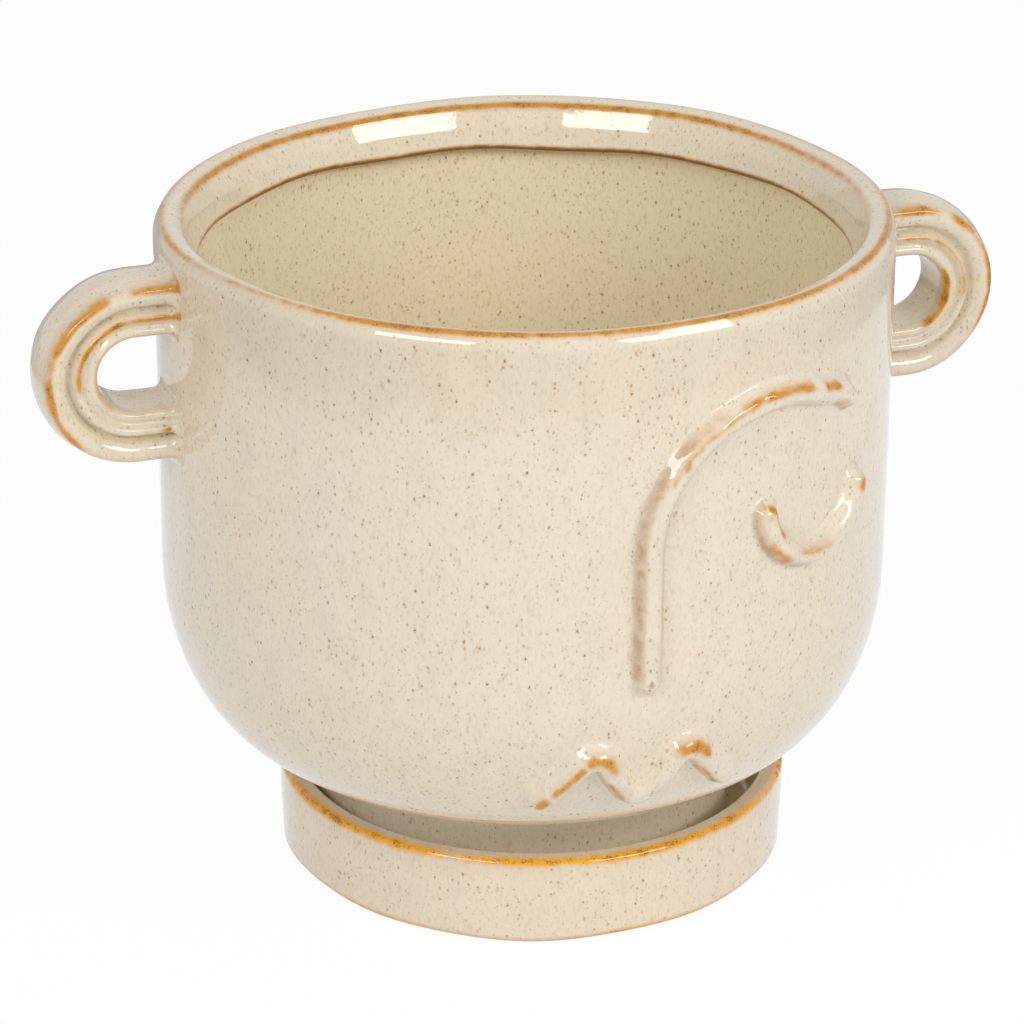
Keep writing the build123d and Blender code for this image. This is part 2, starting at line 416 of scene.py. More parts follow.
def pot_line_strengths(angle):
    """How strongly each glaze line of the pot, and the painted reflection under its belly, shows round the
    pot.
    """
    outer = 0.80 - 0.35 * hump(angle, -75, 12) - 0.25 * hump(angle, 88, 10) - 0.55 * hump(angle, 180, 60)
    outer += 0.12 * hump(angle, -38, 10) - 0.12 * hump(angle, -58, 9) + 0.08 * ripple(angle, 8)
    crest = 0.85 - 0.35 * hump(angle, -100, 14) - 0.2 * hump(angle, 60, 50) - 0.75 * hump(angle, 0, 75)
    return {
        "outer_line": outer,
        "crest_line": crest,
        "lip_line": 0.95 + 0.25 * hump(angle, -150, 25),
        "foot_line": 0.3,
        "belly_reflection": 0.72,
        "belly_high_reflection": 0.45,
    }


def build_pot(tree, glaze):
    """The pot with its rolled rim, belly, hollow foot and drain hole."""
    section, marks = pot_section()
    fine = [marks[name] for name in ("rim_outer", "rim_crest", "lip_edge")]
    section = refined(section, [*fine, BELLY_REFLECTION_PLACE, BELLY_HIGH_REFLECTION_PLACE])
    pot = turned_piece("pot_body", section, pot_attributes(section, marks), glaze, tree)
    points = points_of(pot.data)
    angle = facing(points)
    strengths = pot_line_strengths(angle)
    # The glaze lines and the painted reflection under the belly share one attribute
    thin_and_reflection = np.maximum.reduce([values_of(pot.data, name) * strengths[name] for name in strengths])
    # The painted shade high on the wall is strongest on the left of the face
    upper_painted_shade = values_of(pot.data, "upper_painted_shade") * (1 + 1.1 * hump(angle, -72, 42))
    store(pot.data, {"thin_and_reflection": thin_and_reflection, "upper_painted_shade": upper_painted_shade})
    move_points(pot, settle(points))
    return pot


# Saucer


def saucer_section():
    """The saucer's section, from the middle of its underside out to the rim and back over its floor."""
    inner = SAUCER_RADIUS - SAUCER_WALL
    corners = [
        (SAUCER_POLE, SAUCER_HOLLOW, 0, ""),
        (SAUCER_RADIUS - 8.0, SAUCER_HOLLOW, 0.6, ""),
        (SAUCER_RADIUS - 7.0, 0.0, 0.6, ""),
        (SAUCER_RADIUS - 0.6, 0.0, 1.3, "base"),
        (SAUCER_RADIUS - 0.15, 12.0, 12, ""),
        (SAUCER_RADIUS, SAUCER_HEIGHT, 1.8, "rim"),
        (inner, SAUCER_HEIGHT, 2.0, ""),
        (inner - 0.6, POT_BASE, 3.2, ""),
        (SAUCER_POLE, POT_BASE, 0, ""),
    ]
    return rounded_section(corners, SAUCER_STEP)


def build_saucer(tree, glaze):
    """The drip saucer, with an uneven glaze line on its rim and an uneven lower edge."""
    section, marks = saucer_section()
    section = refined(section, [marks["rim"], marks["base"]])
    attributes = {
        "rim_line": line_on(section, marks["rim"], 1.45),
        "rim_haze": line_on(section, marks["rim"], 6.5),
        "base_line": line_on(section, marks["base"], 1.2),
        # Painted bounce light on the saucer's inner wall
        "inner": np.where(section[:, 0] < SAUCER_RADIUS - 3.4, smooth(section[:, 1], 4, 6), 0),
        "bare": np.where(section[:, 1] < SAUCER_HOLLOW + 0.05, 1.0, 0.0),
    }
    saucer = turned_piece("saucer", section, attributes, glaze, tree)
    points = points_of(saucer.data)
    angle = facing(points)
    rim = values_of(saucer.data, "rim_line") * (0.84 + 0.12 * ripple(angle, 5, 60) + 0.10 * ripple(angle, 13))
    base = values_of(saucer.data, "base_line") * (0.70 + 0.15 * ripple(angle, 5, 30))
    haze = 0.24 * values_of(saucer.data, "rim_haze")
    store(saucer.data, {"thin_and_reflection": np.maximum(np.maximum(rim, base), haze)})
    radius = np.hypot(points[:, 0], points[:, 1])
    edge = smooth(radius, SAUCER_RADIUS - 4.5, SAUCER_RADIUS - 0.6) * (1 - smooth(points[:, 2], 1.0, 6.0))
    lift = 0.52 + 0.30 * ripple(angle, 4, 20) + 0.20 * ripple(angle, 9, 70)
    points[:, 2] += lift * edge
    points[:, 0] += SAUCER_CENTRE[0]
    points[:, 1] += SAUCER_CENTRE[1]
    move_points(saucer, points)
    return saucer


# Raised lines of the face

# The grid that a bead is made on: its spacing, how far it reaches from the line, the spare room round that,
# and how deep its back and its border lie in the wall
RELIEF_STEP = 0.32
RELIEF_REACH = 4.9
RELIEF_MARGIN = 1.5
RELIEF_SINK = 0.9
BORDER_SINK = 0.05

# A bead's cross-section: how square, tall and wide it is, where its flank runs out on the wall, and where
# and how deep the skirt round it sinks
BEAD_POWER = 3.4
BEAD_TALL = 3.4
BEAD_WIDE = 2.95
FLANK_START = 3.2
FLANK_END = 4.55
SKIRT_START = 4.4
SKIRT_SINK = 0.04

# How gently a touch of glaze, or of painted shade, starts and ends, and how finely the lines of the face are
# drawn
TOUCH_EASE = 1.5
SPLINE_STEPS = 24


def wall_radius(height):
    """Outer radius of the pot at a height, on the wall or the belly."""
    drop = np.clip((BELLY_TOP - height) / BELLY_HEIGHT, 0, 1)
    return BELLY_FLAT_RADIUS + BELLY_WIDTH * np.sqrt(1 - drop * drop)


def on_wall(across, height, proud):
    """Points over the pot's wall, from their place in the flat drawing of the face and their height over the
    clay."""
    radius = wall_radius(height)
    slope = (wall_radius(height + 0.05) - wall_radius(height - 0.05)) / 0.1
    tilt = 1 / np.sqrt(1 + slope * slope)
    turn = across / POT_RADIUS
    out = radius + proud * tilt
    return np.column_stack([out * np.sin(turn), -out * np.cos(turn), height - proud * slope * tilt])


def smooth_line(corners, step):
    """A flowing line through given points, as evenly spaced points of a spline."""
    knots = np.array([2 * np.array(corners[0]) - np.array(corners[1]), *corners])
    knots = np.vstack([knots, 2 * knots[-1] - knots[-2]])
    out = []
    for a, b, c, d in zip(knots, knots[1:], knots[2:], knots[3:]):
        for t in np.linspace(0, 1, SPLINE_STEPS, endpoint=False):
            square = (2 * a - 5 * b + 4 * c - d) * t * t
            cube = (3 * b - a - 3 * c + d) * t * t * t
            out.append(0.5 * (2 * b + (c - a) * t + square + cube))
    out.append(knots[-2])
    out = np.array(out)
    run = np.concatenate([[0], np.cumsum(np.linalg.norm(np.diff(out, axis=0), axis=1))])
    even = np.arange(0, run[-1] + step, step).clip(max=run[-1])
    return np.column_stack([np.interp(even, run, out[:, k]) for k in range(2)])


def nearest_on(line, across, up):
    """For each place: how far it is from a line, how far along the line that is, and the distance again with
    a sign for its side, positive on the left of the way the line runs."""
    places = np.column_stack([across.ravel(), up.ravel()])
    best = np.full(len(places), 1e9)
    along = np.zeros(len(places))
    side = np.zeros(len(places))
    run = 0.0
    for here, after in zip(line, line[1:]):
        way = after - here
        length = np.linalg.norm(way)
        if length < 1e-9:
            continue
        share = np.clip((places - here) @ way / length**2, 0, 1)
        gap = places - here - share[:, None] * way
        distance = np.linalg.norm(gap, axis=1)
        closer = distance < best
        best = np.where(closer, distance, best)
        along = np.where(closer, run + share * length, along)
        side = np.where(closer, np.sign(way[0] * gap[:, 1] - way[1] * gap[:, 0]), side)
        run += length
    shape = across.shape
    return best.reshape(shape), along.reshape(shape), (side * best).reshape(shape)


def relief(name, line, height, touches, shade_and_stain_marks):
    """A soft bead of clay under glaze laid on the pot's wall along a line of the flat drawing."""
    margin = RELIEF_REACH + RELIEF_MARGIN
    low, high = line.min(axis=0) - margin, line.max(axis=0) + margin
    columns = np.arange(low[0], high[0], RELIEF_STEP)
    rows = np.arange(low[1], high[1], RELIEF_STEP)
    across, up = np.meshgrid(columns, rows, indexing="ij")
    gap, along, side = nearest_on(line, across, up)
    cells, used, border = whole_cells(gap < RELIEF_REACH)
    proud = softened(height(gap, along), 2)
    proud = np.where(border, -BORDER_SINK, proud)
    number = np.full(used.shape, -1)
    number[used] = np.arange(used.sum())
    count = int(used.sum())
    top = on_wall(across[used], POT_BASE + up[used], proud[used])
    bottom = on_wall(across[used], POT_BASE + up[used], np.full(count, -RELIEF_SINK))
    faces = []
    for i, j in zip(*np.nonzero(cells)):
        quad = [number[i, j], number[i + 1, j], number[i + 1, j + 1], number[i, j + 1]]
        faces.append([int(k) for k in quad])
    faces += rim_and_back(faces, count)
    back = np.zeros(count)
    values = {
        "thin_and_reflection": np.concatenate([touched(touches, along[used], side[used]), back]),
        # Painted shade on the beads' shaded flanks and undersides, and brown at the nose's lower end
        "stain_and_shade": np.concatenate([touched(shade_and_stain_marks, along[used], side[used]), back]),
    }
    return add_mesh(name, settle(np.vstack([top, bottom])), faces, values)


def whole_cells(kept):
    """A grid's cells whose four corners are kept, the corners that they use, and those on their border."""
    cells = kept[:-1, :-1] & kept[1:, :-1] & kept[1:, 1:] & kept[:-1, 1:]
    used = np.zeros_like(kept)
    border = np.zeros_like(kept)
    for i, j in ((0, 0), (1, 0), (1, 1), (0, 1)):
        window = (slice(i, i + cells.shape[0]), slice(j, j + cells.shape[1]))
        used[window] |= cells
        border[window] |= ~cells
    return cells, used, border & used


def rim_and_back(faces, count):
    """The back of a sheet of faces, and the strip that closes it round its edge."""
    edges = {(a, b): True for face in faces for a, b in zip(face, face[1:] + face[:1])}
    strip = [[b, a, a + count, b + count] for a, b in edges if (b, a) not in edges]
    back = [[k + count for k in reversed(face)] for face in faces]
    return back + strip


def softened(grid, passes):
    """A grid of heights with its creases rubbed down."""
    for _ in range(passes):
        padded = np.pad(grid, 1, mode="edge")
        beside = padded[:-2, 1:-1] + padded[2:, 1:-1] + padded[1:-1, :-2] + padded[1:-1, 2:]
        grid = padded[1:-1, 1:-1] * 0.5 + beside * 0.125
    return grid


def touched(touches, along, side):
    """How much of the thinning glaze, and of the painted shade, shows on a bead: each touch is start, end,
    offset to its side, width, strength.
    """
    shown = np.zeros(len(along))
    for start, end, offset, width, strength in touches:
        begin = smooth(along, start - TOUCH_EASE, start + TOUCH_EASE)
        window = begin * (1 - smooth(along, end - TOUCH_EASE, end + TOUCH_EASE))
        shown = np.maximum(shown, strength * window * np.exp(-(((side - offset) / width) ** 2)))
    return shown


def bead(gap, along):
    """A bead's height over the wall: a flat-topped coil whose flanks run out on to the wall."""
    wave = 0.05 * np.sin(along * 0.31 + 1.0) + 0.04 * np.sin(along * 0.83)
    coil = BEAD_TALL * (1 + wave) * np.exp(-((gap / (BEAD_WIDE * (1 - 0.6 * wave))) ** BEAD_POWER))
    skirt = SKIRT_SINK * smooth(gap, SKIRT_START, RELIEF_REACH)
    return coil * (1 - smooth(gap, FLANK_START, FLANK_END)) - skirt


def arc_points(across, up, radius, start, end, count):
    """Points along an arc of the flat drawing, from start to end degrees."""
    angles = np.radians(np.linspace(start, end, count))
    return [(across + radius * cos(a), up + radius * sin(a)) for a in angles]


def build_nose_brow():
    """The nose that runs up into the arched brow, with a drooping tail."""
    leaving = 74
    arch = arc_points(31.5, 101.6, 31.5, 180, leaving, 12)
    slope = radians(leaving - 90)
    bend = (arch[-1][0] + 12.2 * cos(slope), arch[-1][1] + 12.2 * sin(slope))
    nose = [(0.0, 71.8), (0.0, 81.8), (0.0, 91.8)]
    line = smooth_line([*nose, *arch, bend, (bend[0] + 3.2, bend[1] - 2.2)], 0.6)
    touches = [
        (0, 66, 2.4, 1.5, 0.40),
        (10, 36, 2.4, 1.3, 0.47),
        (0, 90, -2.8, 0.9, 0.30),
        (46, 72, 1.0, 0.9, 0.52),
        (50, 53, 0.2, 1.2, 0.66),
        (68, 88, 1.5, 1.3, 0.74),
        (91.5, 98, 1.5, 1.3, 0.80),
        (98, 108, -2.0, 1.2, 0.40),
        (-3, 0.6, 0, 1.0, 0.50),
    ]
    # Painted shade on the nose's left flank and right edge and under the brow and its tail, and brown at the
    # nose's lower end
    shade_and_stain_marks = [
        (-3, 0.6, 0, 1.0, 0.8),
        (0, 58, 2.8, 1.5, 0.40),
        (0, 60, -3.1, 0.9, 0.33),
        (60, 96, -3.2, 0.6, 0.36),
        (98, 108, -3.0, 0.7, 0.55),
    ]
    return relief("nose_brow_relief", line, bead, touches, shade_and_stain_marks)


def build_closed_eye():
    """The closed eye, a bead bent to a half ring that is a little flattened."""
    level, flatness = 105.0, 0.88
    ring = arc_points(44.7, 107.3, 16.1, -12, -174, 16)
    line = smooth_line([(across, level + (up - level) * flatness) for across, up in ring], 0.6)
    touches = [
        (-3, 2.2, 0, 1.8, 0.90),
        (0, 48, 2.6, 1.2, 0.38),
        (17, 29, -1.0, 1.4, 0.56),
        (29, 38, 1.9, 1.3, 0.70),
        (35, 45, -1.9, 0.9, 0.90),
        (43, 51, 0.3, 1.8, 0.74),
    ]
    # Painted shade along the eye's outer, lower edge
    shade_and_stain_marks = [(6, 46, 3.0, 0.9, 0.42), (28, 40, 2.9, 0.9, 0.5)]
    return relief("closed_eye_relief", line, bead, touches, shade_and_stain_marks)


def build_lips():
    """The lips, a bead bent to a wide M."""
    right = [(5.5, 47.4), (9.2, 52.8), (13.2, 52.4), (18.0, 47.5), (23.2, 42.8)]
    left = [(-across, up) for across, up in reversed(right)]
    line = smooth_line([*left, (-1.8, 42.9), (1.8, 42.9), *right], 0.5)
    touches = [
        (-3, 2.5, 0, 1.6, 0.90),
        (3.5, 14, 0.2, 1.4, 0.70),
        (0, 67, -2.5, 1.1, 0.42),
        (14, 22, 0.9, 1.6, 0.72),
        (23, 31, -1.6, 1.1, 0.66),
        (46, 54, 1.2, 1.7, 0.82),
        (55, 61, -2.1, 0.8, 0.66),
        (65, 70, 0, 1.2, 0.52),
    ]
    # Painted shade under the lips
    shade_and_stain_marks = [(0, 67, -2.9, 0.8, 0.40), (22, 32, -2.9, 0.8, 0.5), (54, 62, -3.0, 0.7, 0.6)]
    return relief("lips_relief", line, bead, touches, shade_and_stain_marks)


# Ear handles

# The fillet where a handle meets the wall, and how deep its root lies in the wall
FILLET = 2.4
ROOT_DEPTH = 1.2

# The hole's radius, how finely the handle is divided, and how often its directions are smoothed
HOLE_REACH = 8.7
SECTION_STEP = 0.45
FLARE_STEPS = 16
STUB_STEPS = 10
BOW_STEPS = 97
NORMAL_PASSES = 30

# How strongly each glaze line of a handle and the painted shade in its grooves show, and how far the handle
# stands above its drawn height
LEFT_LINES = {"inner": 0.86, "edge": 0.45, "groove": 0.62, "lift": 1.0}
RIGHT_LINES = {"inner": 0.6, "edge": 0.95, "groove": 0.45, "lift": 0.0}


def eased(loop):
    """A closed loop of points with its bends rubbed down."""
    return loop * 0.5 + (np.roll(loop, 1, axis=0) + np.roll(loop, -1, axis=0)) * 0.25


def handle_section():
    """The handle's section as a closed loop of reach from the hole's centre and distance from its middle
    plane."""
    half = HANDLE_DEPTH / 2
    crown = [(22.3, 0), (22.15, 2.6), (21.6, 5.2)]
    face = [
        (20.7, half - 0.35),
        (19.4, half + 0.05),
        (17.9, half - 0.4),
        (16.5, half - 1.3),
        (15.8, half - 3.2),
        (15.2, half - 3.2),
        (14.8, half - 1.3),
        (14.0, half - 0.1),
        (13.0, half - 0.2),
        (12.3, half - 1.3),
        (11.7, half - 1.9),
        (11.1, half - 1.2),
        (10.2, half - 0.7),
        (9.1, half - 1.5),
        (HOLE_REACH, half - 3.4),
        (HOLE_REACH, 2.5),
    ]
    side = crown + face
    far = [(reach, -depth) for reach, depth in reversed(side) if depth > 0]
    loop = resampled(np.array([*side, (HOLE_REACH, 0), *far]), SECTION_STEP)
    return eased(eased(loop))


def outward_normals(section):
    """Directions out of the handle's section, smoothed over its grooves."""
    tangent = np.roll(section, -1, axis=0) - np.roll(section, 1, axis=0)
    normal = np.column_stack([tangent[:, 1], -tangent[:, 0]])
    for _ in range(NORMAL_PASSES):
        normal = eased(normal)
    normal /= np.linalg.norm(normal, axis=1)[:, None]
    centre = section.mean(axis=0)
    if np.sum((section - centre) * normal) < 0:
        normal = -normal
    return normal


def left_lean(angle):
    """How far the left handle's bow leaves its circle: flatter above, fuller below."""
    return -0.9 * hump(angle, 48, 32) + 0.5 * hump(angle, -48, 30)


def right_lean(angle):
    """How far the right handle's bow leaves its circle."""
    return 0.3 * hump(angle, 40, 25) - 0.5 * hump(angle, -35, 30)


def handle_rings(section, lean):
    """Sections along the handle: out of the wall above, round the bow and back into the wall below."""
    normal = outward_normals(section)
    flared = np.linspace(-ROOT_DEPTH, FILLET, FLARE_STEPS)
    straight = np.linspace(FILLET, HANDLE_STAND_OFF, STUB_STEPS)[1:-1]
    gaps = np.concatenate([flared, straight])
    rings = [stub_ring(section, normal, gap, 1) for gap in gaps]
    for angle in np.linspace(90, -90, BOW_STEPS):
        reach = section[:, 0] + lean(angle) * smooth(section[:, 0], 9, 22)
        x = POT_RADIUS + HANDLE_STAND_OFF + reach * cos(radians(angle))
        z = HANDLE_HEIGHT + reach * sin(radians(angle))
        rings.append(np.column_stack([x, section[:, 1], z]))
    return rings + [stub_ring(section, normal, gap, -1) for gap in gaps[::-1]]


def stub_ring(section, normal, gap, way):
    """One ring of the straight stretch between the wall and the bow, flared where it meets the wall."""
    near = max(0.0, FILLET - max(gap, 0.0))
    flare = FILLET - sqrt(max(FILLET**2 - near**2, 0.0))
    reach = section[:, 0] + normal[:, 0] * flare
    depth = section[:, 1] + normal[:, 1] * flare
    wall = np.sqrt(POT_RADIUS**2 - depth**2)
    return np.column_stack([wall + gap, depth, HANDLE_HEIGHT + way * reach])


def handle_faces(rings, count):
    """Faces between a handle's rings, and a fan round a middle point that closes each end."""
    faces = []
    for ring in range(rings - 1):
        for k in range(count):
            a, b = ring * count + k, ring * count + (k + 1) % count
            faces.append([a, b, b + count, a + count])
    first = rings * count
    base = first - count
    for k in range(count):
        faces.append([(k + 1) % count, k, first])
        faces.append([base + k, base + (k + 1) % count, first + 1])
    return faces


def handle_glaze(section, rings, seed, lines):
    """Where the glaze thins on a handle, along its crests and the hole's edge, broken in places, and in drops
    at its roots, and where painted shade darkens its grooves."""

    def line(reach, width):
        return np.exp(-(((section[:, 0] - reach) / width) ** 2)) * smooth(np.abs(section[:, 1]), 3, 5)

    outer, inner, edge, groove = line(20.3, 1.1), line(13.6, 0.8), line(9.6, 0.8), line(15.5, 0.4)
    thin_and_reflection = []
    stain_and_shade = []
    for number in range(rings):
        run = number / (rings - 1)
        wave = 0.12 * sin(run * 21 + seed) + 0.10 * sin(run * 47 + 2 * seed)
        fade = 1 - 0.6 * float(smooth(run, 0.55, 0.8))
        gap = 1 - 0.7 * exp(-(((run - 0.19 - 0.02 * seed) / 0.022) ** 2))
        late = 1 - 0.9 * float(smooth(run, 0.50, 0.58))
        middle = float(smooth(run, 0.32, 0.42)) * (1 - float(smooth(run, 0.72, 0.82)))
        root = exp(-(((run - 0.105) / 0.020) ** 2)) + exp(-(((run - 0.895) / 0.018) ** 2))
        bands = [outer * (0.78 + wave) * fade * gap, outer * 0.9 * exp(-(((run - 0.10) / 0.018) ** 2))]
        bands += [inner * lines["inner"] * (1 + wave) * late, edge * lines["edge"] * (1 + wave) * middle]
        thin_and_reflection.append(np.maximum.reduce([*bands, inner * root, 0.35 * outer, 0.3 * edge]))
        # Painted shade along the groove
        stain_and_shade.append(groove * lines["groove"] * (0.75 + 1.5 * wave))
    ends = [[0, 0]]
    return np.concatenate(thin_and_reflection + ends), np.concatenate(stain_and_shade + ends)


def build_handle(name, side, lean, lines):
    """One ear handle, bent from a grooved strap, with glaze run into the corner where it meets the wall. It
    is made on the right, and mirrored for the left."""
    section = handle_section()
    rings = handle_rings(section, lean)
    points = np.vstack([*rings, rings[0].mean(axis=0), rings[-1].mean(axis=0)])
    faces = handle_faces(len(rings), len(section))
    thin_and_reflection, stain_and_shade = handle_glaze(section, len(rings), side + 2, lines)
    points[:, 0] *= side
    points[:, 2] += lines["lift"]
    if side < 0:
        faces = [face[::-1] for face in faces]
    piece = add_mesh(name, settle(points), faces, {"thin_and_reflection": thin_and_reflection, "stain_and_shade": stain_and_shade})
    turn_outwards(piece)
    return piece


# Shader sums

# The Mix node's two colour sockets and its colour result, which share their names with other sockets
MIX_FIRST = 6
MIX_SECOND = 7
MIX_RESULT = 2


class Signal:
    """A shader socket that Python can calculate with: each sum adds a Math node."""

    def __init__(self, tree, socket):
        self.tree = tree
        self.socket = socket

    def math(self, operation, *others):
        return add_node(self.tree, "ShaderNodeMath", {"operation": operation}, [self, *others])

    def __add__(self, other):
        return self.math("ADD", other)

    __radd__ = __add__

    def __mul__(self, other):
        return self.math("MULTIPLY", other)

    __rmul__ = __mul__

    def __sub__(self, other):
        return self.math("SUBTRACT", other)

    def __rsub__(self, other):
        return add_node(self.tree, "ShaderNodeMath", {"operation": "SUBTRACT"}, [other, self])

    def __truediv__(self, other):
        return self.math("DIVIDE", other)

    def step(self, low, high):
        """0 below low, 1 above high, smooth between."""
        settings = {"interpolation_type": "SMOOTHSTEP"}
        return add_node(self.tree, "ShaderNodeMapRange", settings, [self, low, high, 0.0, 1.0])


def add_node(tree, kind, settings, values, output=0):
    """Adds a node, makes its settings, then gives its sockets values or links. Returns one of its outputs."""
    node = tree.nodes.new(kind)
    for name, value in settings.items():
        setattr(node, name, value)
    pairs = values.items() if isinstance(values, dict) else enumerate(values)
    for key, value in pairs:
        if isinstance(value, Signal):
            tree.links.new(value.socket, node.inputs[key])
        else:
            node.inputs[key].default_value = value
    return Signal(tree, node.outputs[output])


def ray(tree, kind):
    """1 for light rays of one kind, such as those from the camera, and 0 for all others."""
    return add_node(tree, "ShaderNodeLightPath", {}, [], kind)


def show(tree, kind, shader):
    """Links a shader to the output node of a material or a world."""
    surface = tree.nodes.new(kind)
    tree.links.new(shader.socket, surface.inputs["Surface"])


def empty_material(name):
    """A new material and its cleared node tree."""
    material = bpy.data.materials.new(name)
    material.use_nodes = True
    material.node_tree.nodes.clear()
    return material, material.node_tree


def colour(red, green, blue):
    """A colour as a socket takes it, from the numbers that a picture shows it by, 0 to 255."""
    return (*[linear(value / 255) for value in (red, green, blue)], 1.0)


def linear(value):
    """A picture's number as light."""
    return value / 12.92 if value <= 0.04045 else ((value + 0.055) / 1.055) ** 2.4


# Glaze

CREAM = colour(231, 219, 198)
CREAM_WARM = colour(233, 219, 194)
CREAM_PEACH = colour(234, 216, 192)
CREAM_GREY = colour(218, 207, 186)
# Painted bounce light, for the inside of the pot and the saucer
BOUNCE_LIT_BEIGE = colour(246, 234, 202)
HAZE = colour(218, 190, 158)
# Painted shade high on the pot's wall
SHADE_TAN = colour(208, 191, 158)
AMBER = colour(208, 142, 30)
GOLDEN = colour(240, 170, 26)
BROWN = colour(134, 78, 24)
SPECK = colour(104, 78, 42)
# Brown of a stain on the lip, and of painted shade on the handles and beads
STAIN_AND_SHADE = colour(132, 88, 50)
OCHRE = colour(178, 128, 54)
DUST = colour(190, 170, 136)
CLAY = colour(214, 196, 168)
GLAZE_IOR = 1.6


class Glaze:
    """A glaze's node tree, with the patterns that it is made of, sized in millimetres."""

    def __init__(self, name, seed):
        self.material, self.tree = empty_material(name)
        place = self.node("ShaderNodeTexCoord", {}, [], "Object")
        place = self.vector("SCALE", {0: place, "Scale": 1 / MM})
        self.place = self.vector("ADD", [place, (seed * 37.0, seed * 11.0, 0.0)])
        values = {"Vector": self.place, "Scale": 2.4, "Detail": 1.0}
        shake = self.node("ShaderNodeTexNoise", {}, values, "Color")
        shaken = self.vector("MULTIPLY_ADD", [shake, (0.55, 0.55, 0.8), self.place])
        self.drawn = self.vector("MULTIPLY", [shaken, (1.0, 1.0, 0.7)])
        self.runny = self.vector("MULTIPLY", [shaken, (1.0, 1.0, 0.42)])
        self.cloud = self.noise(0.14, 3.0, self.drawn)
        self.grain = self.noise(1.5, 4.0, self.runny)

    def node(self, kind, settings, values, output=0):
        return add_node(self.tree, kind, settings, values, output)

    def vector(self, operation, values):
        return self.node("ShaderNodeVectorMath", {"operation": operation}, values)

    def noise(self, scale, detail, where=None):
        """Soft noise, drawn out downwards where a stretched place is given."""
        values = {"Vector": where or self.place, "Scale": scale, "Detail": detail, "Roughness": 0.55}
        return self.node("ShaderNodeTexNoise", {}, values)

    def attribute(self, label):
        """A number that the mesh carries on its points."""
        return self.node("ShaderNodeAttribute", {"attribute_name": label}, [], "Fac")

    def mix(self, share, first, second):
        """One colour turned into another by a share from 0 to 1."""
        values = {"Factor": share, MIX_FIRST: first, MIX_SECOND: second}
        return self.node("ShaderNodeMix", {"data_type": "RGBA"}, values, MIX_RESULT)

    def specks(self, cell, smallest, largest, share, where, soft):
        """Round spots, at most one for each cell of the given size in millimetres."""
        values = {"Vector": where, "Scale": 1 / cell, "Randomness": 1.0}
        gap = self.node("ShaderNodeTexVoronoi", {}, values, "Distance") * cell
        tint = self.node("ShaderNodeTexVoronoi", {}, values, "Color")
        size = self.node("ShaderNodeSeparateColor", {}, [tint], "Red")
        pick = self.node("ShaderNodeSeparateColor", {}, [tint], "Green")
        reach = smallest + size * (largest - smallest)
        return (1 - (gap / reach).step(1 - soft, 1 + soft)) * pick.math("LESS_THAN", share)


def clouded_and_painted_light(glaze, cream):
    """The glaze's cream: cloudy, lighter and yellower inside the pot and the saucer with painted bounce
    light, and browner high on the pot's wall with painted shade.
    """
    body = glaze.mix(glaze.noise(0.03, 3.0).step(0.35, 0.68), cream, CREAM_WARM)
    body = glaze.mix(glaze.cloud.step(0.42, 0.72) * 0.35, body, CREAM_GREY)
    # Painted bounce light inside the pot and the saucer
    body = glaze.mix(glaze.attribute("inner") * 0.85, body, BOUNCE_LIT_BEIGE)
    # Painted shade high on the pot's wall
    body = glaze.mix(glaze.attribute("upper_painted_shade") * (0.75 + glaze.cloud * 0.5), body, SHADE_TAN)
    return glaze.mix(glaze.grain.step(0.46, 0.72) * 0.28, body, DUST)


def speckled(glaze, body):
    """Specks in the glaze, crowded in some places, with an ochre halo round the dark ones. Returns the colour
    and the dark specks."""
    crowd = 0.22 + glaze.cloud.step(0.3, 0.7) * 0.4
    dust = glaze.specks(0.95, 0.12, 0.25, 0.6, glaze.drawn, 0.35)
    run = glaze.specks(2.4, 0.22, 0.42, 0.4, glaze.runny, 0.5)
    ochre = glaze.specks(1.35, 0.13, 0.31, crowd, glaze.drawn, 0.4)
    halo = glaze.specks(1.55, 0.20, 0.44, crowd, glaze.drawn, 0.5)
    dark = glaze.specks(1.55, 0.06, 0.21, crowd, glaze.drawn, 0.35)
    layers = [(dust, 0.50, DUST), (run, 0.30, OCHRE), (ochre, 0.62, OCHRE), (halo, 0.32, OCHRE)]
    for spots, strength, tint in [*layers, (dark, 0.85, SPECK)]:
        body = glaze.mix(spots * strength, body, tint)
    return body, dark


def thinned_and_reflected(glaze, body, amber):
    """Amber and brown where the glaze thins over an edge and in the painted reflection under the pot's belly,
    and brown where the mesh marks it: a stain on the pot's lip, painted shade in the handles' grooves and on
    the beads' shaded flanks and undersides.
    """
    wander = glaze.noise(0.35, 4.0) - 0.5
    crumb = glaze.noise(2.6, 4.0) - 0.5
    thin_and_reflection = glaze.attribute("thin_and_reflection")
    ragged = thin_and_reflection + (wander * 0.7 + crumb * 0.25) * thin_and_reflection.step(0.05, 0.5)
    body = glaze.mix(ragged.step(0.08, 0.45) * 0.75, body, HAZE)
    body = glaze.mix(ragged.step(0.36, 0.74), body, amber)
    core = ragged + crumb * 1.5 + wander * 0.8
    body = glaze.mix(core.step(0.78, 1.15) * 0.8, body, BROWN)
    # A stain on the lip's lower edge, and painted shade in the handles' grooves and on the beads
    stain_and_shade = glaze.attribute("stain_and_shade")
    frayed_stain_and_shade = stain_and_shade + (wander * 0.6 + crumb * 0.4) * stain_and_shade.step(0.05, 0.6)
    return glaze.mix(frayed_stain_and_shade.step(0.12, 0.95) * 0.9, body, STAIN_AND_SHADE)


